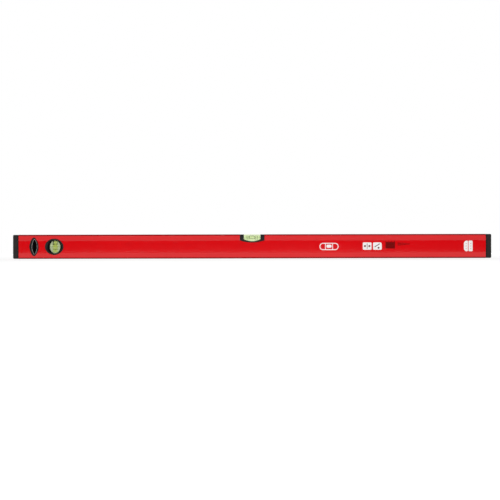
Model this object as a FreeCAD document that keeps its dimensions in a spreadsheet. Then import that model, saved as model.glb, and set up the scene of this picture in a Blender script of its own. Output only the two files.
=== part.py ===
import FreeCAD, Part
import Sketcher
import math
import os
import re

# A 1 m box-section spirit level with one level vial, one plumb vial, a hang hole and two end caps.
# +X runs along the beam, the front faces -Y, +Z is up and the origin is the middle of the base face.
# All lengths are millimetres.

SIZES = {
    # aluminium box profile
    "overall_length": 1000,
    "profile_height": 50.5,
    "crest_half": 11.0,
    "rail_half": 10.3,
    "field_half": 10.2,
    "seat_half": 10.1,
    "corner_round": 3.0,
    "rail_band": 12.2,
    "rail_ramp": 0.9,
    "cavity_half": 8.7,
    "cavity_floor": 2.6,
    "cavity_round": 1.5,
    # end caps
    "cap_show": 12.0,
    "cap_inset": 0.2,
    "cap_round": 2.0,
    "flange_thick": 1.2,
    "flange_inset": 0.9,
    "tongue_half": 5.0,
    "tongue_height": 34,
    "tongue_length": 4.5,
    "plug_length": 24,
    "plug_wall": 2.0,
    "plug_gap": 0.3,
    "rib_width": 1.6,
    "rib_pitch": 13,
    # hang hole
    "hang_x": -455.6,
    "lip_fit": 0.1,
    "lip_round": 0.5,
    "hang_lip_wide": 9.6,
    "hang_lip_tall": 19.35,
    "hang_lip_tip": 3.4,
    "hang_wall": 1.2,
    "hang_mouth_wide": 7.7,
    "hang_mouth_tall": 17.4,
    "hang_mouth_tip": 2.7,
    "hang_ledge_wide": 6.9,
    "hang_ledge_tall": 16.6,
    "hang_ledge_tip": 2.4,
    "hang_ledge_depth": 2.9,
    "hang_neck_wide": 5.5,
    "hang_neck_tall": 15.5,
    "hang_neck_tip": 2.1,
    "hang_neck_depth": 3.8,
    "hang_throat_wide": 2.15,
    "hang_throat_tall": 11.8,
    "hang_throat_tip": 1.9,
    # plumb vial and its oval surrounds
    "plumb_x": -413.5,
    "plumb_lip_wide": 19.45,
    "plumb_lip_tall": 17.0,
    "plumb_lip_tip": 13.5,
    "plumb_wall": 1.3,
    "plumb_mouth_wide": 16.9,
    "plumb_mouth_tall": 14.7,
    "plumb_mouth_tip": 12.2,
    "plumb_window_wide": 11.8,
    "plumb_window_tall": 13.7,
    "plumb_window_tip": 9.5,
    "plumb_block_wide": 13.0,
    "plumb_block_tall": 14.6,
    "plumb_block_tip": 10.6,
    "block_half": 6.5,
    "plumb_bore": 5.3,
    "plumb_bore_end": 5.1,
    "plumb_bore_top": 13.2,
    "plumb_bore_bottom": -11.6,
    "plumb_bore_round": 2.5,
    "plumb_plug_end": -13.2,
    "plumb_line_half": 5.4,
    "plumb_bubble_radius": 4.85,
    "plumb_bubble_length": 9.4,
    "plumb_bubble_round": 2.9,
    "plumb_bubble_gap": 0.25,
    # level vial and its housing in the top edge
    "housing_half": 25.7,
    "housing_side": 12.6,
    "housing_depth": 17.2,
    "window_half": 17.25,
    "window_side": 10.0,
    "window_depth": 14.3,
    "window_flare": 0.8,
    "housing_inset": 0.2,
    "housing_round": 2.8,
    "level_block_half": 18.6,
    "level_block_side": 12.4,
    "level_block_depth": 15.3,
    "level_block_inset": 0.4,
    "level_axis_depth": 7.2,
    "level_bore": 5.0,
    "level_bore_end": 4.75,
    "level_bore_half": 16.0,
    "level_line_inner": 6.5,
    "level_line_outer": 10.4,
    "level_bubble_radius": 3.5,
    "level_bubble_length": 11.6,
    "level_bubble_rise": 1.15,
    "pocket_gap": 0.1,
    # printed rings inside both vials
    "level_ring_radius": 4.88,
    "plumb_ring_radius": 5.22,
    "ring_width": 0.5,
    "ring_thick": 0.12,
    "ring_fit": 0.02,
    "ring_over": 0.2,
    # how far a cutting outline runs past the material
    "cut_over": 1,
}

doc = FreeCAD.newDocument("SpiritLevel")
ORIGIN_POINT = (-1, 1)
ACROSS_AXIS = -1
UP_AXIS = -2
NEAR = 0.01


def fill_sheet():
    """Put every driving size in the sheet, one named cell each."""
    sheet = doc.addObject("Spreadsheet::Sheet", "Sizes")
    for row, (name, size) in enumerate(SIZES.items(), start=1):
        sheet.set("A%d" % row, name)
        sheet.set("B%d" % row, str(size))
        sheet.setAlias("B%d" % row, name)
    doc.recompute()
    return sheet


def linked(formula):
    """Return the formula with each size written as a reference to its cell."""
    def reference(word):
        return "Sizes." + word.group() if word.group() in SIZES else word.group()

    return re.sub(r"[a-z_]+", reference, str(formula))


def value(formula):
    """Return what a formula of sheet sizes comes to."""
    return float(sheet.evalExpression(linked(formula)))


def bind(item, **formulas):
    """Tie properties of a document object to formulas of sheet sizes."""
    for name, formula in formulas.items():
        item.setExpression(name, linked(formula))


def dimension(sketch, kind, *places, formula):
    """Add one sketch dimension that follows a formula of sheet sizes."""
    index = sketch.addConstraint(Sketcher.Constraint(kind, *places, value(formula)))
    sketch.setExpression("Constraints[%d]" % index, linked(formula))


def new_body(label, across="0", depth="0", up="0", turned=0):
    """Start a sub-part's body; its placement follows the sheet, and turned spins it about the vertical."""
    body = doc.addObject("PartDesign::Body", label)
    body.Label = label
    body.Placement.Rotation = FreeCAD.Rotation(FreeCAD.Vector(0, 0, 1), turned)
    for axis, formula in zip("xyz", (across, depth, up)):
        body.setExpression("Placement.Base." + axis, linked(formula))
    return body


def origin_feature(body, role):
    """Return one of the body's own origin planes or axes."""
    return next(item for item in body.Origin.OriginFeatures if item.Role == role)


def new_sketch(body, name, plane, offset="0"):
    """Start a sketch on an origin plane, moved along the plane's normal."""
    sketch = body.newObject("Sketcher::SketchObject", name)
    sketch.AttachmentSupport = [(origin_feature(body, plane), "")]
    sketch.MapMode = "FlatFace"
    place_sketch(sketch, z=offset)
    return sketch


def place_sketch(sketch, **moves):
    """Move a sketch within its plane (x, y) or along the plane's normal (z)."""
    for axis, formula in moves.items():
        sketch.setExpression("AttachmentOffset.Base." + axis, linked(formula))


def bent_edge(start, end, radius):
    """Return the short arc between two points that turns left for a positive radius, right for a negative."""
    if radius < 0:
        return bent_edge(end, start, -radius)
    chord = end - start
    reach = (radius ** 2 - (chord.Length / 2) ** 2) ** 0.5
    left = FreeCAD.Vector(-chord.y, chord.x, 0).normalize()
    centre = (start + end) / 2 + left * reach
    first, last = [math.atan2(spot.y - centre.y, spot.x - centre.x) for spot in (start, end)]
    return Part.ArcOfCircle(Part.Circle(centre, FreeCAD.Vector(0, 0, 1), radius), first, last)


def trace(sketch, corners):
    """Draw a closed outline through corners (across, up, bend); bend is the next edge's radius."""
    spots = [FreeCAD.Vector(value(across), value(up), 0) for across, up, bend in corners]
    ends = []
    for index, (across, up, bend) in enumerate(corners):
        start = spots[index]
        end = spots[(index + 1) % len(spots)]
        if bend is None:
            edge = sketch.addGeometry(Part.LineSegment(start, end))
        else:
            edge = sketch.addGeometry(bent_edge(start, end, value(bend)))
            dimension(sketch, "Radius", edge, formula="abs(%s)" % bend)
        backwards = bend is not None and value(bend) < 0
        ends.append(((edge, 2), (edge, 1)) if backwards else ((edge, 1), (edge, 2)))
    for index, (across, up, bend) in enumerate(corners):
        head = ends[index][0]
        tail = ends[index - 1][1]
        sketch.addConstraint(Sketcher.Constraint("Coincident", *tail, *head))
        dimension(sketch, "DistanceX", *ORIGIN_POINT, *head, formula=across)
        dimension(sketch, "DistanceY", *ORIGIN_POINT, *head, formula=up)


def both_sides(corners):
    """Return right-hand corners, bottom to top, followed by their mirror images, top to bottom."""
    left = []
    for index in reversed(range(len(corners))):
        across, up, bend = corners[index]
        edge_below = corners[index - 1][2] if index else None
        left.append(("-(%s)" % across, up, edge_below))
    return corners + left


def add_oval(sketch, wide, tall, tip):
    """Draw an oval of four tangent arcs from its half width, half height and tighter radius."""
    upright = value(tall) > value(wide)
    short, long = (wide, tall) if upright else (tall, wide)
    reach = "(%s - %s)" % (long, tip)
    flat = "((%s^2 + (%s)^2 - (%s)^2) / (2 * (%s - %s)))" % (reach, short, tip, short, tip)
    reach_now, tip_now, flat_now = value(reach), value(tip), value(flat)
    back = flat_now - value(short)
    spread = math.atan2(reach_now, back)
    quarter = math.pi / 2
    arcs = []
    for index in range(4):
        is_tip = (index % 2 == 1) == upright
        middle = quarter * index
        outward = FreeCAD.Vector(math.cos(middle), math.sin(middle), 0)
        centre = outward * (reach_now if is_tip else -back)
        half = quarter - spread if is_tip else spread
        circle = Part.Circle(centre, FreeCAD.Vector(0, 0, 1), tip_now if is_tip else flat_now)
        arcs.append(sketch.addGeometry(Part.ArcOfCircle(circle, middle - half, middle + half)))
    for index in range(4):
        sketch.addConstraint(Sketcher.Constraint("Tangent", arcs[index], 2, arcs[(index + 1) % 4], 1))
    side, tip_arc, far_side, far_tip = arcs if upright else arcs[3:] + arcs[:3]
    axis = UP_AXIS if upright else ACROSS_AXIS
    sketch.addConstraint(Sketcher.Constraint("PointOnObject", tip_arc, 3, axis))
    sketch.addConstraint(Sketcher.Constraint("Symmetric", tip_arc, 3, far_tip, 3, *ORIGIN_POINT))
    sketch.addConstraint(Sketcher.Constraint("Equal", tip_arc, far_tip))
    sketch.addConstraint(Sketcher.Constraint("Equal", side, far_side))
    dimension(sketch, "Radius", tip_arc, formula=tip)
    dimension(sketch, "Radius", side, formula=flat)
    dimension(sketch, "DistanceY" if upright else "DistanceX", *ORIGIN_POINT, tip_arc, 3, formula=reach)


def add_circle(sketch, radius):
    """Draw a circle about the sketch's origin."""
    circle = sketch.addGeometry(Part.Circle(FreeCAD.Vector(), FreeCAD.Vector(0, 0, 1), value(radius)))
    sketch.addConstraint(Sketcher.Constraint("Coincident", circle, 3, *ORIGIN_POINT))
    dimension(sketch, "Radius", circle, formula=radius)


def rounded_box(half_wide, low, high, radius):
    """Return the corners of an upright rounded rectangle."""
    inner = "%s - %s" % (half_wide, radius)
    return both_sides([
        (inner, low, radius),
        (half_wide, "%s + %s" % (low, radius), None),
        (half_wide, "%s - (%s)" % (high, radius), radius),
        (inner, high, None),
    ])


def pad(body, sketch, length, both_ways=False, reverse=False):
    """Add material along the sketch's normal."""
    feature = body.newObject("PartDesign::Pad", sketch.Name + "_pad")
    feature.Profile = sketch
    feature.SideType = "Symmetric" if both_ways else "One side"
    feature.Reversed = reverse
    bind(feature, Length=length)
    return feature


def cut(body, sketch, length=None, both_ways=False, reverse=False):
    """Cut against the sketch's normal, through everything when no length is given."""
    feature = body.newObject("PartDesign::Pocket", sketch.Name + "_cut")
    feature.Profile = sketch
    feature.SideType = "Symmetric" if both_ways else "One side"
    feature.Reversed = reverse
    if length is None:
        feature.Type = "ThroughAll"
    else:
        bind(feature, Length=length)
    return feature


def turn_about(body, sketch, axis, remove=False):
    """Revolve a half outline about one of its sketch's axes, adding or removing material."""
    kind = "PartDesign::Groove" if remove else "PartDesign::Revolution"
    feature = body.newObject(kind, sketch.Name + "_turned")
    feature.Profile = sketch
    feature.ReferenceAxis = (sketch, [axis])
    feature.Angle = 360
    return feature


def funnel(body, outer, inner):
    """Cut a tapering hole between two outlines."""
    feature = body.newObject("PartDesign::SubtractiveLoft", outer.Name + "_funnel")
    feature.Profile = outer
    feature.Sections = [inner]
    feature.Ruled = True
    return feature


def mirror_front_to_back(body, features):
    """Repeat front features on the back."""
    mirror = body.newObject("PartDesign::Mirrored", features[0].Name + "_mirror")
    mirror.Originals = features
    mirror.MirrorPlane = (origin_feature(body, "XZ_Plane"), [""])
    body.Tip = mirror
    return mirror


def round_edges(body, base, wanted, radius):
    """Fillet those edges of the newest feature that the test picks."""
    doc.recompute()
    names = ["Edge%d" % (index + 1) for index, edge in enumerate(base.Shape.Edges) if wanted(edge)]
    fillet = body.newObject("PartDesign::Fillet", base.Name + "_round")
    fillet.Base = (base, names)
    bind(fillet, Radius=radius)
    return fillet


def lies_at(edge, axis, place):
    """Tell whether a whole edge lies in one plane across an axis."""
    low = getattr(edge.BoundBox, axis.upper() + "Min")
    high = getattr(edge.BoundBox, axis.upper() + "Max")
    return abs(low - place) < NEAR and abs(high - place) < NEAR


def rail_side():
    """Return the right half of the beam's outline: each rail slopes from its corner out to a crest."""
    return [
        ("rail_half - corner_round", "0", "corner_round"),
        ("rail_half", "corner_round", None),
        ("crest_half", "rail_band", None),
        ("field_half", "rail_band + rail_ramp", None),
        ("field_half", "profile_height - rail_band - rail_ramp", None),
        ("crest_half", "profile_height - rail_band", None),
        ("rail_half", "profile_height - corner_round", "corner_round"),
        ("rail_half - corner_round", "profile_height", None),
    ]


def bowl(half, side, depth, top="0"):
    """Return a slot outline below a beam's top line: straight sides and a round bottom."""
    half, side, depth = ["(%s)" % size for size in (half, side, depth)]
    radius = "(%s^2 + (%s - %s)^2) / (2 * (%s - %s))" % (half, depth, side, depth, side)
    return [
        ("-" + half, "-" + side, radius),
        (half, "-" + side, None),
        (half, top, None),
        ("-" + half, top, None),
    ]


def make_profile():
    """Build the hollow beam with its vial notch, its two oval cut-outs and their shallow seats."""
    body = new_body("profile")
    section = new_sketch(body, "profile_section", "YZ_Plane")
    trace(section, both_sides(rail_side()))
    trace(section, rounded_box("cavity_half", "cavity_floor", "(profile_height - cavity_floor)",
                               "cavity_round"))
    pad(body, section, "overall_length - 2 * cap_show", both_ways=True)

    notch = new_sketch(body, "profile_notch", "XZ_Plane")
    place_sketch(notch, y="profile_height")
    trace(notch, bowl("housing_half + lip_fit", "housing_side + lip_fit", "housing_depth + lip_fit",
                      "cut_over"))
    cut(body, notch, both_ways=True)

    for name, place, wall in (("hang", "hang_x", "hang_wall"), ("plumb", "plumb_x", "plumb_wall")):
        wide, tall, tip = [name + part for part in ("_lip_wide", "_lip_tall", "_lip_tip")]
        hole = new_sketch(body, "profile_%s_hole" % name, "XZ_Plane")
        seat = new_sketch(body, "profile_%s_seat" % name, "XZ_Plane", "crest_half + cut_over")
        for sketch in (hole, seat):
            place_sketch(sketch, x=place, y="profile_height / 2")
        add_oval(hole, *["(%s - %s + lip_fit)" % (size, wall) for size in (wide, tall, tip)])
        add_oval(seat, *["(%s + lip_fit)" % size for size in (wide, tall, tip)])
        seat_cut = cut(body, seat, "crest_half + cut_over - seat_half")
        mirror_front_to_back(body, [seat_cut])
        cut(body, hole, both_ways=True)


def make_cap_core(side, across, turned):
    """Build a hard end plug: a flange, ribs that grip the beam's inside and a tongue for the bumper."""
    body = new_body("end_cap_core_" + side, across, turned=turned)
    flange = new_sketch(body, "core_flange_" + side, "YZ_Plane")
    trace(flange, rounded_box("(rail_half - flange_inset)", "flange_inset", "(profile_height - flange_inset)",
                              "corner_round"))
    pad(body, flange, "flange_thick")

    tongue = new_sketch(body, "core_tongue_" + side, "YZ_Plane", "flange_thick")
    trace(tongue, rounded_box("tongue_half", "(profile_height / 2 - tongue_height / 2)",
                              "(profile_height / 2 + tongue_height / 2)", "cavity_round"))
    pad(body, tongue, "tongue_length")

    plug = new_sketch(body, "core_plug_" + side, "YZ_Plane")
    trace(plug, rounded_box("(cavity_half - plug_gap)", "(cavity_floor + plug_gap)",
                            "(profile_height - cavity_floor - plug_gap)", "cavity_round"))
    pad(body, plug, "plug_length", reverse=True)

    hollow = new_sketch(body, "core_hollow_" + side, "YZ_Plane", "-plug_length")
    trace(hollow, rounded_box("(cavity_half - plug_gap - plug_wall)", "(cavity_floor + plug_gap + plug_wall)",
                              "(profile_height - cavity_floor - plug_gap - plug_wall)", "cavity_round"))
    cut(body, hollow, "plug_length - plug_wall", reverse=True)

    ribs = new_sketch(body, "core_ribs_" + side, "YZ_Plane", "-plug_length + rib_width")
    for step in (-1, 0, 1):
        middle = "profile_height / 2 + %d * rib_pitch" % step
        trace(ribs, [
            ("-cavity_half", "%s - rib_width / 2" % middle, None),
            ("-cavity_half + plug_gap + plug_wall / 2", "%s - rib_width / 2" % middle, None),
            ("-cavity_half + plug_gap + plug_wall / 2", "%s + rib_width / 2" % middle, None),
            ("-cavity_half", "%s + rib_width / 2" % middle, None),
        ])
    rib_pad = pad(body, ribs, "plug_length - rib_width")
    mirror_front_to_back(body, [rib_pad])


def make_cap_bumper(side, across, turned):
    """Build the rubber bumper that covers the plug's flange end."""
    body = new_body("end_cap_bumper_" + side, across, turned=turned)
    block = new_sketch(body, "bumper_block_" + side, "YZ_Plane", "flange_thick")
    trace(block, rounded_box("(rail_half + cap_inset)", "cap_inset", "(profile_height - cap_inset)",
                             "corner_round"))
    pad(body, block, "cap_show - flange_thick")
    pocket = new_sketch(body, "bumper_pocket_" + side, "YZ_Plane", "flange_thick")
    trace(pocket, rounded_box("tongue_half", "(profile_height / 2 - tongue_height / 2)",
                              "(profile_height / 2 + tongue_height / 2)", "cavity_round"))
    pocket_cut = cut(body, pocket, "tongue_length", reverse=True)
    outer_face = value("cap_show")
    round_edges(body, pocket_cut, lambda edge: lies_at(edge, "x", outer_face), "cap_round")


def make_hang_liner(side, turned):
    """Build one half of the moulded eyelet that lines the hang hole."""
    body = new_body("hang_liner_" + side, "hang_x", up="profile_height / 2", turned=turned)
    lip = new_sketch(body, "hang_lip_" + side, "XZ_Plane", "seat_half")
    add_oval(lip, "hang_lip_wide", "hang_lip_tall", "hang_lip_tip")
    pad(body, lip, "crest_half - seat_half")
    sleeve = new_sketch(body, "hang_sleeve_" + side, "XZ_Plane")
    outline = ("hang_lip_wide", "hang_lip_tall", "hang_lip_tip")
    add_oval(sleeve, *["(%s - hang_wall)" % size for size in outline])
    pad(body, sleeve, "seat_half")
    sections = []
    for part, depth in (("throat", "0"), ("mouth", "0"), ("ledge", "hang_ledge_depth"),
                        ("neck", "hang_neck_depth")):
        section = new_sketch(body, "hang_%s_%s" % (part, side), "XZ_Plane", "crest_half - " + depth)
        add_oval(section, *["hang_%s_%s" % (part, size) for size in ("wide", "tall", "tip")])
        sections.append(section)
    throat, *recess = sections
    cut(body, throat)
    for outer, inner in zip(recess, recess[1:]):
        opening = funnel(body, outer, inner)
    front = -value("crest_half")
    round_edges(body, opening, lambda edge: lies_at(edge, "y", front), "lip_round")


def make_plumb_surround(side, turned):
    """Build one oval bezel that frames the plumb vial and holds half of its block."""
    body = new_body("plumb_surround_" + side, "plumb_x", up="profile_height / 2", turned=turned)
    lip = new_sketch(body, "plumb_lip_" + side, "XZ_Plane", "seat_half")
    add_oval(lip, "plumb_lip_wide", "plumb_lip_tall", "plumb_lip_tip")
    pad(body, lip, "crest_half - seat_half")
    sleeve = new_sketch(body, "plumb_sleeve_" + side, "XZ_Plane")
    outline = ("plumb_lip_wide", "plumb_lip_tall", "plumb_lip_tip")
    add_oval(sleeve, *["(%s - plumb_wall)" % size for size in outline])
    pad(body, sleeve, "seat_half")
    seat = new_sketch(body, "plumb_seat_" + side, "XZ_Plane", "block_half")
    add_oval(seat, "plumb_block_wide", "plumb_block_tall", "plumb_block_tip")
    cut(body, seat)
    window = new_sketch(body, "plumb_window_" + side, "XZ_Plane", "block_half")
    add_oval(window, "plumb_window_wide", "plumb_window_tall", "plumb_window_tip")
    mouth = new_sketch(body, "plumb_mouth_" + side, "XZ_Plane", "crest_half")
    add_oval(mouth, "plumb_mouth_wide", "plumb_mouth_tall", "plumb_mouth_tip")
    opening = funnel(body, mouth, window)
    front = -value("crest_half")
    round_edges(body, opening, lambda edge: lies_at(edge, "y", front), "lip_round")


def barrel_bulge(low, high, end_radius, middle_radius):
    """Return the radius of the long arc that makes a bore slightly wider in the middle than at its ends."""
    length = "(%s - (%s))" % (high, low)
    rise = "(%s - %s)" % (middle_radius, end_radius)
    return "(%s^2 / 4 + %s^2) / (2 * %s)" % (length, rise, rise)


def level_bore(start, finish):
    """Return the half outline of the level vial's bore, with its ends at the given places along it."""
    bulge = barrel_bulge("-level_bore_half", "level_bore_half", "level_bore_end", "level_bore")
    corners = [(start, "0", None), (finish, "0", None)]
    if finish != "level_bore_half":
        corners.append((finish, "level_bore_end", None))
    return corners + [("level_bore_half", "level_bore_end", bulge), (start, "level_bore_end", None)]


def plumb_bore(start):
    """Return the half outline of the plumb vial's bore, from the given place up to its rounded top."""
    bulge = barrel_bulge("plumb_bore_bottom", "(plumb_bore_top - plumb_bore_round)", "plumb_bore_end",
                         "plumb_bore")
    corners = [("0", start, None), ("plumb_bore_end", start, None)]
    if start != "plumb_bore_bottom":
        corners.append(("plumb_bore_end", "plumb_bore_bottom", None))
    corners[-1] = corners[-1][:2] + (bulge,)
    return corners + [
        ("plumb_bore_end", "plumb_bore_top - plumb_bore_round", "plumb_bore_round"),
        ("plumb_bore_end - plumb_bore_round", "plumb_bore_top", None),
        ("0", "plumb_bore_top", None),
    ]


def level_bubble_outline(gap):
    """Return the half outline of the level bubble, grown by a gap: a cylinder with round ends."""
    reach = "(level_bubble_length / 2 + %s)" % gap
    radius = "(level_bubble_radius + %s)" % gap
    return [
        ("-" + reach, "0", None),
        (reach, "0", radius),
        ("%s - %s" % (reach, radius), radius, None),
        ("-%s + %s" % (reach, radius), radius, radius),
    ]


def plumb_bubble_outline(gap):
    """Return the plumb bubble's half outline, grown by a gap and hanging below the bore's round top."""
    top = "(plumb_bore_top - plumb_bubble_gap + %s)" % gap
    bottom = "(plumb_bore_top - plumb_bubble_gap - plumb_bubble_length - %s)" % gap
    radius = "(plumb_bubble_radius + %s)" % gap
    bend = "(plumb_bubble_round + %s)" % gap
    return [
        ("0", bottom, None),
        ("%s - %s" % (radius, bend), bottom, bend),
        (radius, "%s + %s" % (bottom, bend), None),
        (radius, "%s - %s" % (top, bend), bend),
        ("%s - %s" % (radius, bend), top, None),
        ("0", top, None),
    ]


def ring_band(axis, place, radius, gap="0", over="0"):
    """Return the outline of one reading ring's section, with a gap round it and an overrun outside it."""
    low = "%s - ring_width / 2 - %s" % (place, gap)
    high = "%s + ring_width / 2 + %s" % (place, gap)
    inner = "(%s - ring_thick - %s)" % (radius, gap)
    outer = "(%s + %s)" % (radius, over)
    if axis == "H_Axis":
        return [(low, inner, None), (high, inner, None), (high, outer, None), (low, outer, None)]
    return [(inner, low, None), (outer, low, None), (outer, high, None), (inner, high, None)]


def level_body(label):
    """Start a body whose origin is the middle of the level vial's bore."""
    return new_body(label, up="profile_height - level_axis_depth")


def plumb_body(label):
    """Start a body whose origin is the middle of the plumb vial."""
    return new_body(label, "plumb_x", up="profile_height / 2")


LEVEL_RINGS = ["-level_line_outer", "-level_line_inner", "level_line_inner", "level_line_outer"]
PLUMB_RINGS = ["-plumb_line_half", "plumb_line_half"]


def make_level_housing(side, turned):
    """Build one half of the black saddle that drops into the top notch and frames the level vial."""
    body = new_body("level_housing_" + side, up="profile_height", turned=turned)
    outline = new_sketch(body, "housing_outline_" + side, "XZ_Plane")
    trace(outline, bowl("housing_half", "housing_side", "housing_depth", "-housing_inset"))
    pad(body, outline, "crest_half")
    seat = new_sketch(body, "housing_seat_" + side, "XZ_Plane", "block_half")
    trace(seat, bowl("level_block_half", "level_block_side", "level_block_depth", "cut_over"))
    cut(body, seat)
    window = new_sketch(body, "housing_window_" + side, "XZ_Plane", "block_half")
    trace(window, bowl("window_half", "window_side", "window_depth", "cut_over"))
    mouth = new_sketch(body, "housing_mouth_" + side, "XZ_Plane", "crest_half")
    trace(mouth, bowl("(window_half + window_flare)", "(window_side + window_flare)",
                      "(window_depth + window_flare)", "cut_over"))
    opening = funnel(body, mouth, window)
    front = -value("crest_half")
    top = -value("housing_inset")
    shoulder = round_edges(body, opening, lambda edge: lies_at(edge, "y", front) and lies_at(edge, "z", top),
                           "housing_round")
    below = top - value("housing_round")
    round_edges(body, shoulder, lambda edge: lies_at(edge, "y", front) and edge.BoundBox.ZMin < below,
                "lip_round")


def make_level_vial():
    """Build the level vial: acrylic block, end plug, liquid, bubble and reading rings."""
    block = level_body("level_vial_body")
    outline = new_sketch(block, "level_block", "XZ_Plane")
    place_sketch(outline, y="level_axis_depth")
    trace(outline, bowl("level_block_half", "level_block_side", "level_block_depth", "-level_block_inset"))
    pad(block, outline, "2 * block_half", both_ways=True)
    bore = new_sketch(block, "level_bore_outline", "XZ_Plane")
    trace(bore, level_bore("-level_bore_half", "level_block_half + cut_over"))
    turn_about(block, bore, "H_Axis", remove=True)

    plug = level_body("level_vial_plug")
    disc = new_sketch(plug, "level_plug", "YZ_Plane", "level_bore_half")
    add_circle(disc, "level_bore_end")
    pad(plug, disc, "level_block_half - level_bore_half")

    liquid = level_body("level_vial_liquid")
    filling = new_sketch(liquid, "level_filling", "XZ_Plane")
    trace(filling, level_bore("-level_bore_half", "level_bore_half"))
    turn_about(liquid, filling, "H_Axis")
    grooves = new_sketch(liquid, "level_ring_grooves", "XZ_Plane")
    for place in LEVEL_RINGS:
        trace(grooves, ring_band("H_Axis", place, "level_ring_radius", "ring_fit", "ring_over"))
    turn_about(liquid, grooves, "H_Axis", remove=True)
    pocket = new_sketch(liquid, "level_pocket", "XZ_Plane")
    place_sketch(pocket, y="level_bubble_rise")
    trace(pocket, level_bubble_outline("pocket_gap"))
    turn_about(liquid, pocket, "H_Axis", remove=True)

    bubble = new_body("level_vial_bubble", up="profile_height - level_axis_depth + level_bubble_rise")
    air = new_sketch(bubble, "level_air", "XZ_Plane")
    trace(air, level_bubble_outline("0"))
    turn_about(bubble, air, "H_Axis")

    lines = level_body("level_vial_lines")
    bands = new_sketch(lines, "level_bands", "XZ_Plane")
    for place in LEVEL_RINGS:
        trace(bands, ring_band("H_Axis", place, "level_ring_radius"))
    turn_about(lines, bands, "H_Axis")


def make_plumb_vial():
    """Build the plumb vial: acrylic block, bottom plug, liquid, bubble at the top and reading rings."""
    block = plumb_body("plumb_vial_body")
    outline = new_sketch(block, "plumb_block", "XZ_Plane")
    add_oval(outline, "plumb_block_wide", "plumb_block_tall", "plumb_block_tip")
    pad(block, outline, "2 * block_half", both_ways=True)
    bore = new_sketch(block, "plumb_bore_outline", "XZ_Plane")
    trace(bore, plumb_bore("-plumb_block_tall - cut_over"))
    turn_about(block, bore, "V_Axis", remove=True)

    plug = plumb_body("plumb_vial_plug")
    disc = new_sketch(plug, "plumb_plug", "XY_Plane", "plumb_plug_end")
    add_circle(disc, "plumb_bore_end")
    pad(plug, disc, "plumb_bore_bottom - plumb_plug_end")

    liquid = plumb_body("plumb_vial_liquid")
    filling = new_sketch(liquid, "plumb_filling", "XZ_Plane")
    trace(filling, plumb_bore("plumb_bore_bottom"))
    turn_about(liquid, filling, "V_Axis")
    grooves = new_sketch(liquid, "plumb_ring_grooves", "XZ_Plane")
    for place in PLUMB_RINGS:
        trace(grooves, ring_band("V_Axis", place, "plumb_ring_radius", "ring_fit", "ring_over"))
    turn_about(liquid, grooves, "V_Axis", remove=True)
    pocket = new_sketch(liquid, "plumb_pocket", "XZ_Plane")
    trace(pocket, plumb_bubble_outline("pocket_gap"))
    turn_about(liquid, pocket, "V_Axis", remove=True)

    bubble = plumb_body("plumb_vial_bubble")
    air = new_sketch(bubble, "plumb_air", "XZ_Plane")
    trace(air, plumb_bubble_outline("0"))
    turn_about(bubble, air, "V_Axis")

    lines = plumb_body("plumb_vial_lines")
    bands = new_sketch(lines, "plumb_bands", "XZ_Plane")
    for place in PLUMB_RINGS:
        trace(bands, ring_band("V_Axis", place, "plumb_ring_radius"))
    turn_about(lines, bands, "V_Axis")


def export_parts():
    """Check every object and write each body's shape to its own file."""
    doc.recompute()
    for item in doc.Objects:
        if "Invalid" in item.State or "Error" in item.State:
            raise RuntimeError("%s failed: %s" % (item.Label, item.State))
    bodies = [item for item in doc.Objects if item.TypeId == "PartDesign::Body"]
    for body in bodies:
        if body.Shape.isNull() or not body.Shape.isValid() or not body.Shape.Solids:
            raise RuntimeError("%s has no sound shape" % body.Label)
    os.makedirs("parts", exist_ok=True)
    for body in bodies:
        body.Shape.exportStep("parts/%s.step" % body.Label)
        print("%-24s %9.1f mm3 %d solid" % (body.Label, body.Shape.Volume, len(body.Shape.Solids)))


sheet = fill_sheet()
make_profile()
BEAM_END = "overall_length / 2 - cap_show"
for side, across, turned in (("left", "-(%s)" % BEAM_END, 180), ("right", BEAM_END, 0)):
    make_cap_core(side, across, turned)
    make_cap_bumper(side, across, turned)
for side, turned in (("front", 0), ("back", 180)):
    make_hang_liner(side, turned)
    make_plumb_surround(side, turned)
    make_level_housing(side, turned)
make_plumb_vial()
make_level_vial()
export_parts()
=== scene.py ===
import math

import bmesh
import bpy
from mathutils import Matrix, Vector


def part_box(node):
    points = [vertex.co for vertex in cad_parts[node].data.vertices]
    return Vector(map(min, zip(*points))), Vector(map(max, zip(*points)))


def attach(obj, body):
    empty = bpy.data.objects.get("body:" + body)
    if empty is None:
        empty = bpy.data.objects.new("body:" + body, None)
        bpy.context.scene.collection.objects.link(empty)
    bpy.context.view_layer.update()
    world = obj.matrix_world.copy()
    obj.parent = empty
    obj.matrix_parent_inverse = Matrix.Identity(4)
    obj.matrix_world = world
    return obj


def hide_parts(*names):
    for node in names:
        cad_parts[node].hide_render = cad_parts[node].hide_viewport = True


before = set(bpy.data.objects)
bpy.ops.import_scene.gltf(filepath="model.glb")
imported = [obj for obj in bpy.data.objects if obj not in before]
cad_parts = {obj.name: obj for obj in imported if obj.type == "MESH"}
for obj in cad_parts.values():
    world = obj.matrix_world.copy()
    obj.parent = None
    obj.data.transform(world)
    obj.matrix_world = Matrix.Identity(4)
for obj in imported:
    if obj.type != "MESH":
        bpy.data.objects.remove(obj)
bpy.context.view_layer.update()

# A 1 m box-section spirit level: painted beam, two vials in black frames, hang hole and end caps.
# Places come from the frame's boxes; the shapes' own sizes are millimetres times MM.
# Angles are in degrees, and the studio's sizes are in metres.

MM = 0.001
LEVEL = "level"

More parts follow.
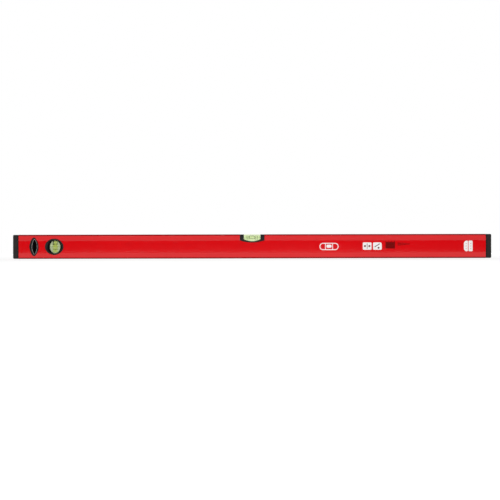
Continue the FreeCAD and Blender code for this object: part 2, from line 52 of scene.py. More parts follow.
# The beam's section
BEAM_LOW, BEAM_HIGH = [Vector(corner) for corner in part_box("profile")]
BEAM_HEIGHT = BEAM_HIGH.z
MID_HEIGHT = BEAM_HEIGHT / 2
CREST = BEAM_HIGH.y
CORNER_ROUND = 3.0 * MM
RAIL_HALF = CREST - 0.7 * MM
RAIL_BAND = 12.2 * MM
RAIL_RAMP = 0.9 * MM
FIELD_HALF = CREST - 0.8 * MM
SEAT_HALF = FIELD_HALF - 0.1 * MM
CAVITY_HALF = CREST - 2.3 * MM
CAVITY_FLOOR = 2.6 * MM
CAVITY_ROUND = 1.5 * MM

# What sits in the beam; a TIP is an oval's tighter radius, a SAG is how far a round bottom hangs down
SEAT_FIT = 0.1 * MM
HANG_WALL = 1.2 * MM
PLUMB_WALL = 1.3 * MM
HANG_TIP = 3.4 * MM
PLUMB_TIP = 13.5 * MM
HOUSING_SAG = 4.6 * MM
LEVEL_BLOCK_SAG = 2.9 * MM
PLUMB_BLOCK_TIP = 10.6 * MM
BLOCK_EDGE = 0.3 * MM
HANG_NECK = (5.5 * MM, 15.5 * MM, 2.1 * MM)  # half width, half height and tip of the recess's shelf
NECK_DEPTH = 3.8 * MM
RIM_RADIUS = 0.5 * MM
CUT_OVER = 5 * MM

# How finely round shapes are divided
ARC_STEPS = 12
OVAL_STEPS = 24
CORNER_STEPS = 6
BORE_STEPS = 16
LATHE_STEPS = 64
BEAD_STEPS = 8
CIRCLE_STEPS = 32
FLOOR_STEPS = 96

# Print and clear pieces
INK_FILM = 0.04 * MM
INK_FRONT = -(FIELD_HALF + INK_FILM)
ACRYLIC_IOR = 1.49
LIQUID_IOR = 1.44
AIR_IOR = 1.24  # above 1, so that the bubbles' dark outlines stay soft
PLUG_RATIO = 1.02

# The studio: its floor, what each kind of ray sees of the world, its lights and its camera
FLOOR_RADIUS = 2.4
FLOOR_GLOW = 0.75
CARD = 0.03
WALLS = 0.7
ZENITH = 0.35
AMBIENT = 0.2
KEY_SIZE = (1.6, 0.6)
KEY_POWER = 44
CAMERA_DISTANCE = 1.45
CAMERA_ROLL = -0.117


# ---------------------------------------------------------------- outlines

def arc(centre, radius, first, last, steps=ARC_STEPS):
    """Points along an arc, angles in degrees, both ends included."""
    angles = [math.radians(first + (last - first) * i / steps) for i in range(steps + 1)]
    return [(centre[0] + radius * math.cos(a), centre[1] + radius * math.sin(a)) for a in angles]


def mirrored(points):
    """The right-hand points, then their mirror images in reverse."""
    return points + [(-x, y) for x, y in reversed(points)]


def rounded_box(low, high, radius, steps=ARC_STEPS):
    """A rectangle with round corners, counter-clockwise; radius is one number or four, lower left first."""
    radii = radius if isinstance(radius, (list, tuple)) else [radius] * 4
    corners = [(low[0], low[1]), (high[0], low[1]), (high[0], high[1]), (low[0], high[1])]
    inward = [(1, 1), (-1, 1), (-1, -1), (1, -1)]
    points = []
    for index, (corner, step, size) in enumerate(zip(corners, inward, radii)):
        centre = (corner[0] + step[0] * size, corner[1] + step[1] * size)
        points += arc(centre, size, 180 + 90 * index, 270 + 90 * index, steps)
    return points


def oval(centre, wide, tall, tip):
    """An oval of four tangent arcs from its half width, half height and tighter radius."""
    upright = tall > wide
    short, long = (wide, tall) if upright else (tall, wide)
    reach = long - tip
    flat = (reach ** 2 + short ** 2 - tip ** 2) / (2 * (short - tip))
    back = flat - short
    spread = math.degrees(math.atan2(reach, back))
    points = []
    for index in range(4):
        is_tip = (index % 2 == 1) == upright
        away = reach if is_tip else -back
        middle = math.radians(90 * index)
        spot = (centre[0] + away * math.cos(middle), centre[1] + away * math.sin(middle))
        half = 90 - spread if is_tip else spread
        radius = tip if is_tip else flat
        points += arc(spot, radius, 90 * index - half, 90 * index + half, OVAL_STEPS)[:-1]
    return points


def bowl(half, side, depth, top):
    """A slot outline below a top line: straight sides and a round bottom."""
    radius = (half ** 2 + (depth - side) ** 2) / (2 * (depth - side))
    spread = math.degrees(math.asin(half / radius))
    bottom = arc((0, radius - depth), radius, 270 - spread, 270 + spread, 2 * ARC_STEPS)
    return bottom + [(half, top), (-half, top)]


# ---------------------------------------------------------------- meshes

def new_object(name, mesh, material, body=LEVEL, smooth=30):
    """A visible piece: its mesh, finish and the body that it rides on."""
    obj = bpy.data.objects.new(name, mesh)
    bpy.context.scene.collection.objects.link(obj)
    mesh.materials.append(material)
    finish_shading(mesh, smooth)
    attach(obj, body)
    return obj


def finish_shading(mesh, angle):
    """Smooth shading that stays crisp at edges sharper than the angle in degrees."""
    for polygon in mesh.polygons:
        polygon.use_smooth = True
    mesh.set_sharp_from_angle(angle=math.radians(angle))


def closed_mesh(name, shape):
    """A new mesh from a built shape, with every face turned outward."""
    bmesh.ops.recalc_face_normals(shape, faces=shape.faces)
    mesh = bpy.data.meshes.new(name)
    shape.to_mesh(mesh)
    shape.free()
    return mesh


def prism(name, outline, start, end, axis="y"):
    """A mesh with an outline swept between two places: (x, z) along y, or (y, z) along x."""
    def spot(point, place):
        return (point[0], place, point[1]) if axis == "y" else (place, point[0], point[1])
    shape = bmesh.new()
    rings = [[shape.verts.new(spot(point, place)) for point in outline] for place in (start, end)]
    count = len(outline)
    for i in range(count):
        j = (i + 1) % count
        shape.faces.new((rings[0][i], rings[0][j], rings[1][j], rings[1][i]))
    shape.faces.new(reversed(rings[0]))
    shape.faces.new(rings[1])
    return closed_mesh(name, shape)


def lathe(name, profile, centre, axis):
    """A solid of revolution. The profile is (along, radius) points that start and end on the axis."""
    shape = bmesh.new()
    direction = {"x": Vector((1, 0, 0)), "z": Vector((0, 0, 1))}[axis]
    side = Vector((0, 1, 0))
    other = direction.cross(side)
    turns = [2 * math.pi * i / LATHE_STEPS for i in range(LATHE_STEPS)]
    around = [side * math.cos(a) + other * math.sin(a) for a in turns]
    rings = []
    for along, radius in profile:
        middle = centre + direction * along
        spots = [middle + radius * outward for outward in around] if radius else [middle]
        rings.append([shape.verts.new(spot) for spot in spots])
    for first, second in zip(rings, rings[1:]):
        for i in range(LATHE_STEPS):
            j = (i + 1) % LATHE_STEPS
            corners = [first[i % len(first)], first[j % len(first)]]
            corners += [second[j % len(second)], second[i % len(second)]]
            shape.faces.new(list(dict.fromkeys(corners)))
    return closed_mesh(name, shape)


def round_edges(mesh, width, segments=3, angle=35):
    """Bevel the mesh's sharp edges."""
    shape = bmesh.new()
    shape.from_mesh(mesh)
    sharp = [edge for edge in shape.edges if edge.calc_face_angle(0) > math.radians(angle)]
    bmesh.ops.bevel(shape, geom=sharp, offset=width, segments=segments, profile=0.5, affect="EDGES",
                    clamp_overlap=True)
    shape.to_mesh(mesh)
    shape.free()


def carve(mesh, cutters):
    """Cut prisms out of a mesh and return the result."""
    target = bpy.data.objects.new("carved", mesh)
    bpy.context.scene.collection.objects.link(target)
    tools = []
    for cutter in cutters:
        tool = bpy.data.objects.new("cutter", cutter)
        bpy.context.scene.collection.objects.link(tool)
        step = target.modifiers.new("cut", "BOOLEAN")
        step.operation = "DIFFERENCE"
        step.solver = "EXACT"
        step.object = tool
        tools.append(tool)
    ready = target.evaluated_get(bpy.context.evaluated_depsgraph_get())
    result = bpy.data.meshes.new_from_object(ready)
    for obj in tools + [target]:
        bpy.data.objects.remove(obj)
    result.materials.clear()
    return result


# ---------------------------------------------------------------- materials

class Finish:
    """A Principled material with short helpers for its procedural detail."""

    def __init__(self, name, **sockets):
        self.material = bpy.data.materials.new(name)
        self.material.use_nodes = True
        self.tree = self.material.node_tree
        self.shader = self.tree.nodes["Principled BSDF"]
        coordinates = self.tree.nodes.new("ShaderNodeTexCoord")
        self.place = coordinates.outputs["Object"]
        self.normal = coordinates.outputs["Normal"]
        for key, value in sockets.items():
            self.shader.inputs[key.replace("_", " ")].default_value = value

    def stretch(self, scale):
        """Object coordinates multiplied along each axis."""
        node = self.tree.nodes.new("ShaderNodeMapping")
        node.inputs["Scale"].default_value = scale
        self.tree.links.new(self.place, node.inputs["Vector"])
        return node.outputs["Vector"]

    def noise(self, scale, detail=3.0, roughness=0.5, place=None):
        """A noise pattern; scale is in features per metre."""
        node = self.tree.nodes.new("ShaderNodeTexNoise")
        node.inputs["Scale"].default_value = scale
        node.inputs["Detail"].default_value = detail
        node.inputs["Roughness"].default_value = roughness
        self.tree.links.new(place or self.place, node.inputs["Vector"])
        return node.outputs["Fac"]

    def span(self, factor, low, high, start=0.3, end=0.7):
        """A factor turned into a number between low and high."""
        node = self.tree.nodes.new("ShaderNodeMapRange")
        for key, value in (("From Min", start), ("From Max", end), ("To Min", low), ("To Max", high)):
            node.inputs[key].default_value = value
        self.tree.links.new(factor, node.inputs["Value"])
        return node.outputs["Result"]

    def colour(self, factor, low, high):
        """A base colour that runs between two colours as the factor does."""
        node = self.tree.nodes.new("ShaderNodeValToRGB")
        node.color_ramp.elements[0].position = 0.3
        node.color_ramp.elements[1].position = 0.7
        node.color_ramp.elements[0].color = (*low, 1)
        node.color_ramp.elements[1].color = (*high, 1)
        self.tree.links.new(factor, node.inputs["Fac"])
        self.tree.links.new(node.outputs["Color"], self.shader.inputs["Base Color"])

    def shade(self, factor, colour):
        """The base colour so far, blended towards another as the factor goes to 1."""
        node = self.tree.nodes.new("ShaderNodeMix")
        node.data_type = "RGBA"
        node.inputs["B"].default_value = (*colour, 1)
        socket = self.shader.inputs["Base Color"]
        self.tree.links.new(factor, node.inputs["Factor"])
        self.tree.links.new(socket.links[0].from_socket, node.inputs["A"])
        self.tree.links.new(node.outputs["Result"], socket)

    def math(self, operation, first, second=None):
        """One arithmetic step on outputs or numbers."""
        node = self.tree.nodes.new("ShaderNodeMath")
        node.operation = operation
        for socket, source in zip(node.inputs, (first, second)):
            if isinstance(source, float):
                socket.default_value = source
            elif source is not None:
                self.tree.links.new(source, socket)
        return node.outputs["Value"]

    def parts(self, vector):
        """A vector's three numbers."""
        node = self.tree.nodes.new("ShaderNodeSeparateXYZ")
        self.tree.links.new(vector, node.inputs["Vector"])
        return node.outputs["X"], node.outputs["Y"], node.outputs["Z"]

    def painted_edge_shade(self):
        """A factor that is 1 on the beam's four rounded edges and 0 on its flats, for the shade painted on
        those edges.
        """
        facing = self.parts(self.normal)
        slope = self.math("ABSOLUTE", self.math("MULTIPLY", facing[1], facing[2]))
        height = self.math("ABSOLUTE", self.math("SUBTRACT", self.parts(self.place)[2], MID_HEIGHT))
        outer = self.math("GREATER_THAN", height, MID_HEIGHT - RAIL_BAND / 2)
        return self.math("MULTIPLY", self.span(slope, 0.0, 1.0, 0.09, 0.24), outer)

    def roughness(self, factor, low, high):
        """A roughness that varies with the factor."""
        self.tree.links.new(self.span(factor, low, high), self.shader.inputs["Roughness"])

    def bump(self, factor, height, strength=1.0):
        """A fine relief of the given height in metres."""
        node = self.tree.nodes.new("ShaderNodeBump")
        node.inputs["Strength"].default_value = strength
        node.inputs["Distance"].default_value = height
        self.tree.links.new(factor, node.inputs["Height"])
        self.tree.links.new(node.outputs["Normal"], self.shader.inputs["Normal"])

    def absorb(self, colour, density):
        """Colour that deepens with the distance light travels inside."""
        node = self.tree.nodes.new("ShaderNodeVolumeAbsorption")
        node.inputs["Color"].default_value = (*colour, 1)
        node.inputs["Density"].default_value = density
        self.tree.links.new(node.outputs["Volume"], self.tree.nodes["Material Output"].inputs["Volume"])


def powder_coat():
    """Glossy red powder coat with slight orange peel; the rounded edges get painted shade: a darker red and a
    weaker coat.
    """
    coat = {"Coat_Weight": 1.0, "Coat_Roughness": 0.06, "Coat_IOR": 1.5}
    finish = Finish("red_powder_coat", Specular_IOR_Level=0.0, **coat)
    edge = finish.painted_edge_shade()
    finish.colour(finish.noise(9, 2), (0.66, 0.0022, 0.005), (0.69, 0.003, 0.006))
    # painted shade: the rounded edges blend to dark red and keep only a third of the coat, as shade where
    # they turn from the light
    finish.shade(edge, (0.24, 0.001, 0.002))
    finish.tree.links.new(finish.span(edge, 1.0, 0.3), finish.shader.inputs["Coat Weight"])
    finish.roughness(finish.noise(60, 3), 0.26, 0.34)
    finish.bump(finish.noise(620, 2, 0.4), 0.03 * MM, 0.5)
    return finish.material


def milled_aluminium():
    """Bare machined base face with fine tool lines across its length."""
    finish = Finish("milled_aluminium", Metallic=1.0)
    lines = finish.noise(1, 4, 0.6, finish.stretch((2600, 60, 60)))
    finish.colour(lines, (0.58, 0.59, 0.60), (0.82, 0.83, 0.84))
    finish.roughness(lines, 0.22, 0.4)
    finish.bump(lines, 0.01 * MM, 0.6)
    return finish.material


def moulded_plastic():
    """Black moulded plastic with a spark-eroded grain: half shiny outside, with painted shade inside the
    beam, where its reflection fades out with depth.
    """
    finish = Finish("black_plastic", IOR=1.5, Specular_IOR_Level=0.35)
    depth = finish.math("ABSOLUTE", finish.parts(finish.place)[1])
    # painted shade: the reflection fades from full at 0.8 mm deep to none at 3 mm deep, so the recesses look
    # dark
    recess_shaded_shine = finish.span(depth, 0.0, 0.35, CREST - 3 * MM, CREST - 0.8 * MM)
    finish.tree.links.new(recess_shaded_shine, finish.shader.inputs["Specular IOR Level"])
    grain = finish.noise(2400, 3, 0.6)
    finish.colour(finish.noise(80, 2), (0.004, 0.004, 0.004), (0.007, 0.007, 0.007))
    finish.roughness(grain, 0.24, 0.34)
    finish.bump(grain, 0.01 * MM, 0.5)
    return finish.material


def painted_rim_highlight():
    """Light grey plastic as a painted highlight along an edge."""
    finish = Finish("painted_rim_highlight", IOR=1.5)
    highlight_mottle = finish.noise(500, 3)
    # painted highlight: a light grey base colour that stands in for the light the rim catches
    finish.colour(highlight_mottle, (0.27, 0.262, 0.255), (0.37, 0.362, 0.355))
    finish.roughness(highlight_mottle, 0.2, 0.34)
    return finish.material


def cap_rubber():
    """Dark grey soft rubber: matt, with a coarse grain."""
    finish = Finish("cap_rubber", IOR=1.45, Specular_IOR_Level=0.3)
    grain = finish.noise(1500, 4, 0.65)
    finish.colour(finish.noise(140, 3), (0.016, 0.014, 0.014), (0.024, 0.020, 0.020))
    finish.roughness(grain, 0.62, 0.82)
    finish.bump(grain, 0.05 * MM, 0.6)
    return finish.material


def printed_ink(name, low, high):
    """Matt screen-printed ink with a slightly uneven film."""
    finish = Finish(name, IOR=1.45, Specular_IOR_Level=0.1)
    film = finish.noise(900, 4, 0.6)
    finish.colour(film, low, high)
    finish.roughness(film, 0.42, 0.6)
    finish.bump(film, 0.01 * MM, 0.4)
    return finish.material


def clear(name, ratio, colour, density, low, high):
    """A clear solid; ratio is its index of refraction over that of what surrounds it."""
    finish = Finish(name, Transmission_Weight=1.0, IOR=ratio)
    finish.shader.inputs["Base Color"].default_value = (1, 1, 1, 1)
    finish.roughness(finish.noise(700, 3), low, high)
    if density:
        finish.absorb(colour, density)
    return finish.material


def floor_finish():
    """A pale matt studio floor with a faint mottle, lit up to white where it meets the eye or a mirror."""
    finish = Finish("studio_floor", Specular_IOR_Level=0.0, Emission_Color=(1, 1, 1, 1))
    mottle = finish.noise(6, 4)
    finish.colour(mottle, (0.48, 0.48, 0.48), (0.52, 0.52, 0.52))
    finish.roughness(mottle, 0.85, 0.95)
    path = finish.tree.nodes.new("ShaderNodeLightPath")
    seen = finish.math("SUBTRACT", 1.0, path.outputs["Is Diffuse Ray"])
    glow = finish.math("MULTIPLY", seen, FLOOR_GLOW)
    finish.tree.links.new(glow, finish.shader.inputs["Emission Strength"])
    return finish.material


RED = powder_coat()
BARE = milled_aluminium()
PLASTIC = moulded_plastic()
RUBBER = cap_rubber()
WHITE_INK = printed_ink("white_ink", (0.80, 0.79, 0.78), (0.90, 0.89, 0.88))
DARK_INK = printed_ink("dark_ink", (0.09, 0.002, 0.002), (0.14, 0.004, 0.004))
LINE_INK = printed_ink("line_ink", (0.006, 0.006, 0.006), (0.012, 0.012, 0.012))
ACRYLIC = clear("clear_acrylic", ACRYLIC_IOR, (0.62, 0.80, 0.19), 60, 0.0, 0.02)
# painted shade: a darker copy of the clear acrylic for the plumb vial's block
SHADED_ACRYLIC = clear("shaded_acrylic", ACRYLIC_IOR, (0.33, 0.44, 0.05), 114, 0.0, 0.02)
LIQUID = clear("vial_liquid", LIQUID_IOR / ACRYLIC_IOR, (0.62, 0.72, 0.30), 60, 0.0, 0.01)
DEEP_LIQUID = clear("deep_vial_liquid", LIQUID_IOR / ACRYLIC_IOR, (0.97, 1.0, 0.0), 105, 0.0, 0.01)
BUBBLE = clear("air_bubble", AIR_IOR / LIQUID_IOR, (1, 1, 1), 0, 0.0, 0.01)
RIM_HIGHLIGHT = painted_rim_highlight()
SEALED = clear("vial_plug", PLUG_RATIO, (1, 1, 1), 0, 0.02, 0.08)


# ---------------------------------------------------------------- beam

def rail_outline():
    """The beam's section: each rail slopes out to a crest and drops to the field between."""
    corner = RAIL_HALF - CORNER_ROUND
    lower = arc((corner, CORNER_ROUND), CORNER_ROUND, -90, 0)
    lower += [(CREST, RAIL_BAND), (FIELD_HALF, RAIL_BAND + RAIL_RAMP)]
    upper = [(y, BEAM_HEIGHT - z) for y, z in reversed(lower)]
    return mirrored(lower + upper)


def lip_outline(node, tip, grow):
    """The oval outline of a lined hole's lip, grown all round."""
    low, high = [Vector(corner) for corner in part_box(node)]
    centre = ((low.x + high.x) / 2, (low.z + high.z) / 2)
    return oval(centre, (high.x - low.x) / 2 + grow, (high.z - low.z) / 2 + grow, tip + grow)


def make_beam():
    """The painted aluminium extrusion with its notch, holes and lip seats, bare on the base face."""
    solid = prism("beam", rail_outline(), BEAM_LOW.x, BEAM_HIGH.x, axis="x")
    ceiling = BEAM_HEIGHT - CAVITY_FLOOR
    cavity = rounded_box((-CAVITY_HALF, CAVITY_FLOOR), (CAVITY_HALF, ceiling), CAVITY_ROUND)
    cutters = [prism("cavity", cavity, BEAM_LOW.x - CUT_OVER, BEAM_HIGH.x + CUT_OVER, axis="x")]
    low, high = [Vector(corner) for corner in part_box("level_housing_front")]
    depth = BEAM_HEIGHT - low.z + SEAT_FIT
    side = depth - HOUSING_SAG
    notch = [(x, z + BEAM_HEIGHT) for x, z in bowl(high.x + SEAT_FIT, side, depth, CUT_OVER)]
    outside = CREST + CUT_OVER
    cutters.append(prism("notch", notch, -outside, outside))
    for node, tip, wall in (("hang_liner_front", HANG_TIP, HANG_WALL),
                            ("plumb_surround_front", PLUMB_TIP, PLUMB_WALL)):
        hole = lip_outline(node, tip, SEAT_FIT - wall)
        seat = lip_outline(node, tip, SEAT_FIT)
        cutters.append(prism("hole", hole, -outside, outside))
        cutters.append(prism("seat_front", seat, -outside, -SEAT_HALF))
        cutters.append(prism("seat_back", seat, SEAT_HALF, outside))
    mesh = carve(solid, cutters)
    mesh.name = "beam"
    beam = new_object("beam", mesh, RED, smooth=20)
    mesh.materials.append(BARE)
    for polygon in mesh.polygons:
        if polygon.normal.z < -0.999 and polygon.center.z < 0.01 * MM:
            polygon.material_index = 1
    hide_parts("profile")


make_beam()


# ---------------------------------------------------------------- vials

def middle_of(node):
    """The middle of a CAD node's box."""
    low, high = [Vector(corner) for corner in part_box(node)]
    return (low + high) / 2


def half_of(node):
    """Half the size of a CAD node's box."""
    low, high = [Vector(corner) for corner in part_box(node)]
    return (high - low) / 2


def barrel(low, high, end, middle, round_low, round_high):
    """The half outline, as (along, radius), of a bore with round ends: its radius is end at the ends and
    middle in the middle, and round_low and round_high are the ends' roundings."""
    half = (high - low) / 2
    centre = (high + low) / 2
    points = [(low, 0.0)]
    points += [(low + round_low + x, end - round_low + r) for x, r in arc((0, 0), round_low, 180, 90, 8)]
    inner_low = low + round_low
    inner_high = high - round_high
    for i in range(1, BORE_STEPS):
        along = inner_low + (inner_high - inner_low) * i / BORE_STEPS
        points.append((along, middle - (middle - end) * ((along - centre) / half) ** 2))
    points += [(high - round_high + x, end - round_high + r) for x, r in arc((0, 0), round_high, 90, 0, 8)]
    return points + [(high, 0.0)]


def make_clear_piece(name, mesh, material, body, node):
    """A clear visible piece that stands for a CAD node."""
    piece = new_object(name, mesh, material, body, smooth=40)
    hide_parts(node)
    return piece


def make_level_vial():
    """The level vial: a D-shaped acrylic block, tinted liquid and a long bubble."""
    low, high = [Vector(corner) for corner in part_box("level_vial_body")]
    depth = BEAM_HEIGHT - low.z
    outline = bowl(high.x, depth - LEVEL_BLOCK_SAG, depth, high.z - BEAM_HEIGHT)
    block = [(x, z + BEAM_HEIGHT) for x, z in outline]
    mesh = prism("level_vial_block", block, low.y, high.y)
    round_edges(mesh, BLOCK_EDGE)
    make_clear_piece("level_vial_block", mesh, ACRYLIC, LEVEL, "level_vial_body")

    reach = half_of("level_vial_liquid")
    outline = barrel(-reach.x, reach.x, end=reach.z - 0.25 * MM, middle=reach.z,
                     round_low=1.2 * MM, round_high=0.4 * MM)
    mesh = lathe("level_vial_filling", outline, middle_of("level_vial_liquid"), "x")
    make_clear_piece("level_vial_filling", mesh, LIQUID, LEVEL, "level_vial_liquid")

    reach = half_of("level_vial_bubble")
    outline = barrel(-reach.x, reach.x, end=reach.z - 0.05 * MM, middle=reach.z,
                     round_low=reach.z * 0.8, round_high=reach.z * 0.8)
    mesh = lathe("level_vial_air", outline, middle_of("level_vial_bubble"), "x")
    make_clear_piece("level_vial_air", mesh, BUBBLE, "level_bubble", "level_vial_bubble")


def make_plumb_vial():
    """The plumb vial: an oval acrylic block, tinted liquid and a bubble at the top."""
    reach = half_of("plumb_vial_body")
    middle = middle_of("plumb_vial_body")
    block = oval((middle.x, middle.z), reach.x, reach.z, PLUMB_BLOCK_TIP)
    mesh = prism("plumb_vial_block", block, -reach.y, reach.y)
    round_edges(mesh, BLOCK_EDGE)
    make_clear_piece("plumb_vial_block", mesh, SHADED_ACRYLIC, LEVEL, "plumb_vial_body")

    reach = half_of("plumb_vial_liquid")
    outline = barrel(-reach.z, reach.z, end=reach.x - 0.2 * MM, middle=reach.x,
                     round_low=0.4 * MM, round_high=2.5 * MM)
    mesh = lathe("plumb_vial_filling", outline, middle_of("plumb_vial_liquid"), "z")
    make_clear_piece("plumb_vial_filling", mesh, DEEP_LIQUID, LEVEL, "plumb_vial_liquid")

    reach = half_of("plumb_vial_bubble")
    outline = barrel(-reach.z, reach.z, end=reach.x - 0.05 * MM, middle=reach.x,
                     round_low=1.2 * MM, round_high=2.9 * MM)
    mesh = lathe("plumb_vial_air", outline, middle_of("plumb_vial_bubble"), "z")
    make_clear_piece("plumb_vial_air", mesh, BUBBLE, "plumb_bubble", "plumb_vial_bubble")


make_level_vial()
make_plumb_vial()


# ---------------------------------------------------------------- carried-over pieces

CARRIED = {
    PLASTIC: ["end_cap_core_left", "end_cap_core_right", "hang_liner_front", "hang_liner_back",
              "plumb_surround_front", "plumb_surround_back", "level_housing_front", "level_housing_back"],
    RUBBER: ["end_cap_bumper_left", "end_cap_bumper_right"],
    LINE_INK: ["level_vial_lines", "plumb_vial_lines"],
    SEALED: ["level_vial_plug", "plumb_vial_plug"],
}
for material, names in CARRIED.items():
    for name in names:
        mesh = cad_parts[name].data
        mesh.materials.clear()
        mesh.materials.append(material)


# ---------------------------------------------------------------- grey rim inside the hang hole, a painted highlight

def bead(name, path, place, radius):
    """A round bead swept along a closed (x, z) path in the plane y = place."""
    shape = bmesh.new()
    depth = Vector((0, 1, 0))
    spots = [Vector((x, place, z)) for x, z in path]
    turns = [2 * math.pi * k / BEAD_STEPS for k in range(BEAD_STEPS)]
    rings = []
    for before, here, after in zip([spots[-1]] + spots, spots, spots[1:] + [spots[0]]):
        outward = (after - before).normalized().cross(depth)
        section = [outward * math.cos(a) + depth * math.sin(a) for a in turns]
        rings.append([shape.verts.new(here + radius * away) for away in section])
    for ring, following in zip(rings, rings[1:] + [rings[0]]):
        for k in range(BEAD_STEPS):
            shape.faces.new((ring[k - 1], ring[k], following[k], following[k - 1]))
    return closed_mesh(name, shape)


def make_hang_rims():
    """A bead round the shelf in the hang hole's recess, on the front and the back, coloured light grey as a
    painted highlight.
    """
    centre = middle_of("hang_liner_front")
    path = oval((centre.x, centre.z), *HANG_NECK)
    for side, sign in (("front", -1), ("back", 1)):
        mesh = bead("hang_rim_" + side, path, sign * (CREST - NECK_DEPTH), RIM_RADIUS)
        new_object("hang_rim_" + side, mesh, RIM_HIGHLIGHT, smooth=60)


make_hang_rims()


# ---------------------------------------------------------------- print on the front

def make_print(name, loops, material):
    """Ink on the front field; a loop inside another leaves a gap where the paint shows."""
    curve = bpy.data.curves.new(name, "CURVE")
    curve.dimensions = "2D"
    curve.fill_mode = "BOTH"
    curve.extrude = INK_FILM / 2
    for loop in loops:
        spline = curve.splines.new("POLY")
        spline.points.add(len(loop) - 1)
        for point, (x, z) in zip(spline.points, loop):
            point.co = (x, z, 0, 1)
        spline.use_cyclic_u = True
    flat = bpy.data.objects.new(name + "_curve", curve)
    bpy.context.scene.collection.objects.link(flat)
    mesh = bpy.data.meshes.new_from_object(flat.evaluated_get(bpy.context.evaluated_depsgraph_get()))
    bpy.data.objects.remove(flat)
    mesh.materials.clear()
    mesh.transform(Matrix.Translation((0, INK_FRONT, 0)) @ Matrix.Rotation(math.pi / 2, 4, "X"))
    mesh.name = name
    return new_object(name, mesh, material)


def box_at(x, z, width, height, radius):
    """A rounded rectangle about a middle point."""
    return rounded_box((x - width / 2, z - height / 2), (x + width / 2, z + height / 2), radius, CORNER_STEPS)


def shifted(loops, x, z):
    """Loops moved to a place."""
    return [[(px + x, pz + z) for px, pz in loop] for loop in loops]


def ring_at(x, z, radius):
    """A circle."""
    return arc((x, z), radius, 0, 360, CIRCLE_STEPS)[:-1]


def vial_mark():
    """A generic vial sign: a capsule outline with two lines and a bubble."""
    outer = box_at(0, 0, 40 * MM, 15 * MM, 7.4 * MM)
    inner = box_at(0, 0, 36.4 * MM, 11.4 * MM, 5.6 * MM)
    lines = [box_at(side * 7.5 * MM, 0, 1.5 * MM, 11.4 * MM, 0.1 * MM) for side in (-1, 1)]
    bubble = box_at(0, 0.6 * MM, 11 * MM, 6.6 * MM, 3.2 * MM)
    return [outer, inner] + lines + [bubble]


def pictogram_upright():
    """A white square, then the drawing in it: a beam held upright between two round vials."""
    frame_loop = box_at(0, 0, 18.2 * MM, 15.4 * MM, 1.8 * MM)
    beam = box_at(0, 0, 1.0 * MM, 11 * MM, 0.4 * MM)
    return [frame_loop, beam] + [ring_at(side * 4.6 * MM, 0, 2.1 * MM) for side in (-1, 1)]


def pictogram_slope():
    """A white square, then the drawing in it: a sloping beam and one round vial under it."""
    frame_loop = box_at(0, 0, 18.2 * MM, 15.4 * MM, [1.8 * MM, 1.8 * MM, 4.0 * MM, 1.8 * MM])
    slope = [(-6.4 * MM, -1.4 * MM), (-5.4 * MM, -2.6 * MM), (5.2 * MM, 4.2 * MM), (4.2 * MM, 5.4 * MM)]
    return [frame_loop, slope, ring_at(2.4 * MM, -3.6 * MM, 1.9 * MM)]


def scale_bars():
    """A block of upright bars of three heights on one foot line, like the ticks of a rule."""
    count, pitch, foot = 13, 1.52 * MM, -6.7 * MM
    bars = []
    for i in range(count):
        height = (16.2 if i % 4 == 0 else 14.6 if i % 2 == 0 else 13.2) * MM
        x = (i - (count - 1) / 2) * pitch
        bars.append(box_at(x, foot + height / 2, 1.35 * MM, height, 0.1 * MM))
    return bars


def fine_ticks():
    """A row of thin upright ticks that get shorter to the right."""
    count, pitch, wide = 15, 1.7 * MM, 0.75 * MM
    heights = [(7.0 - 0.28 * i) * MM for i in range(count)]
    return [box_at((i - count // 2) * pitch, 0, wide, height, 0.2 * MM) for i, height in enumerate(heights)]


def dotted_pill(left, right):
    """An upright pill with a column of small gaps; left and right are its corner radii."""
    pill = box_at(0, 0, 8.5 * MM, 22.4 * MM, [left, right, right, left])
    return [pill] + [ring_at(0.4 * MM, i * 5.0 * MM, 0.8 * MM) for i in (-1, 0, 1)]


# Each print's name, loops, place along and up the beam, and ink
PRINTS = (
    ("print_vial_mark", vial_mark(), 160.6 * MM, 24.7 * MM, WHITE_INK),
    ("print_upright_sign", pictogram_upright(), 240.3 * MM, 25.4 * MM, WHITE_INK),
    ("print_upright_sign_drawing", pictogram_upright()[1:], 240.3 * MM, 25.4 * MM, DARK_INK),
    ("print_slope_sign", pictogram_slope(), 261.7 * MM, 25.4 * MM, WHITE_INK),
    ("print_slope_sign_drawing", pictogram_slope()[1:], 261.7 * MM, 25.4 * MM, DARK_INK),
    ("print_scale_bars", scale_bars(), 288.5 * MM, 27.0 * MM, DARK_INK),
    ("print_fine_ticks", fine_ticks(), 316.5 * MM, 29.6 * MM, DARK_INK),
    ("print_pill_left", dotted_pill(6.0 * MM, 2.4 * MM), 446.6 * MM, MID_HEIGHT, WHITE_INK),
    ("print_pill_right", dotted_pill(1.8 * MM, 1.8 * MM), 456.3 * MM, MID_HEIGHT, WHITE_INK),
)
for print_name, print_loops, print_x, print_z, ink in PRINTS:
    make_print(print_name, shifted(print_loops, print_x, print_z), ink)


# ---------------------------------------------------------------- studio

def make_floor():
    """A round pale floor that the level stands on."""
    shape = bmesh.new()
    rim = arc((0, 0), FLOOR_RADIUS, 0, 360, FLOOR_STEPS)[:-1]
    shape.faces.new([shape.verts.new((x, y, 0)) for x, y in rim])
    mesh = bpy.data.meshes.new("floor")
    shape.to_mesh(mesh)
    shape.free()
    floor = bpy.data.objects.new("floor", mesh)
    mesh.materials.append(floor_finish())
    bpy.context.scene.collection.objects.link(floor)


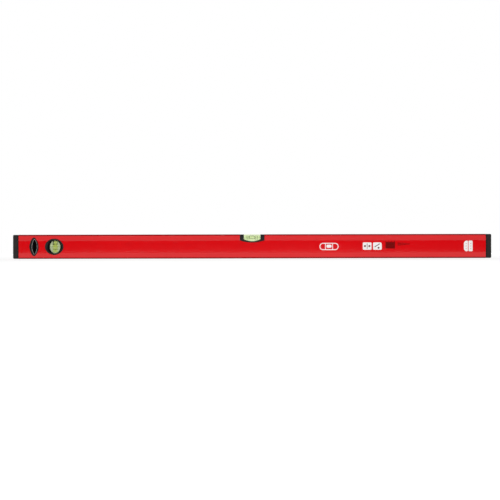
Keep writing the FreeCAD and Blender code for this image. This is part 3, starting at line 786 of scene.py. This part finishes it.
def make_world():
    """White to the eye and through clear pieces, even for soft light, walls and a card in reflections."""
    world = bpy.data.worlds.new("studio")
    world.use_nodes = True
    bpy.context.scene.world = world
    tree = world.node_tree

    def node(kind, **settings):
        made = tree.nodes.new(kind)
        for key, value in settings.items():
            setattr(made, key, value)
        return made

    def ramp(source, stops):
        """A grey level that follows a number from 0 to 1."""
        made = node("ShaderNodeValToRGB")
        made.color_ramp.elements.remove(made.color_ramp.elements[1])
        made.color_ramp.elements[0].position = stops[0][0]
        made.color_ramp.elements[0].color = (*[stops[0][1]] * 3, 1)
        for position, level in stops[1:]:
            made.color_ramp.elements.new(position).color = (*[level] * 3, 1)
        tree.links.new(source, made.inputs["Fac"])
        return made.outputs["Color"]

    def blend(factor, first, second):
        """First where the factor is 0, second where it is 1; either may be a colour or an output."""
        made = node("ShaderNodeMix", data_type="RGBA")
        tree.links.new(factor, made.inputs["Factor"])
        for key, source in (("A", first), ("B", second)):
            if isinstance(source, float):
                made.inputs[key].default_value = (source, source, source, 1)
            else:
                tree.links.new(source, made.inputs[key])
        return made.outputs["Result"]

    def size_of(source):
        """A number without its sign."""
        made = node("ShaderNodeMath", operation="ABSOLUTE")
        tree.links.new(source, made.inputs[0])
        return made.outputs["Value"]

    split = node("ShaderNodeSeparateXYZ")
    tree.links.new(node("ShaderNodeTexCoord").outputs["Generated"], split.inputs["Vector"])
    height = size_of(split.outputs["Z"])
    side = size_of(split.outputs["X"])
    walls = ramp(height, ((0.28, WALLS), (0.6, ZENITH)))
    card = ramp(height, ((0.04, CARD), (0.12, WALLS), (0.28, WALLS), (0.6, ZENITH)))
    reflected = blend(ramp(side, ((0.42, 0.0), (0.62, 1.0))), card, walls)
    path = node("ShaderNodeLightPath")
    seen = node("ShaderNodeMath", operation="MAXIMUM")
    tree.links.new(path.outputs["Is Camera Ray"], seen.inputs[0])
    tree.links.new(path.outputs["Is Transmission Ray"], seen.inputs[1])
    soft = blend(path.outputs["Is Diffuse Ray"], reflected, AMBIENT)
    tree.links.new(blend(seen.outputs["Value"], soft, 1.0), tree.nodes["Background"].inputs["Color"])


def make_softbox(name, place):
    """A large area light that points at the beam's middle, hidden from reflections and clear pieces."""
    light = bpy.data.lights.new(name, "AREA")
    light.shape = "RECTANGLE"
    light.size, light.size_y = KEY_SIZE
    light.energy = KEY_POWER
    obj = bpy.data.objects.new(name, light)
    obj.location = place
    aim = Vector((0, 0, MID_HEIGHT)) - Vector(place)
    obj.rotation_euler = aim.to_track_quat("-Z", "Y").to_euler()
    obj.visible_glossy = False
    obj.visible_transmission = False
    bpy.context.scene.collection.objects.link(obj)


def make_camera():
    """Straight in front of the beam, a little above its foot."""
    data = bpy.data.cameras.new("camera")
    data.lens = 50
    data.sensor_width = 36
    data.clip_start = 0.01
    camera = bpy.data.objects.new("camera", data)
    camera.location = (-4.5 * MM, -CREST - CAMERA_DISTANCE, 17.7 * MM)
    level_view = Matrix.Rotation(math.pi / 2, 3, "X")
    roll = Matrix.Rotation(math.radians(CAMERA_ROLL), 3, "Z")
    camera.rotation_euler = (level_view @ roll).to_euler()
    bpy.context.scene.collection.objects.link(camera)
    bpy.context.scene.camera = camera


make_floor()
make_world()
make_softbox("front_key", (-0.05, -2.2, 0.36))
make_softbox("back_key", (0.05, 2.2, 0.36))
make_camera()
bpy.context.scene.view_settings.view_transform = "Standard"
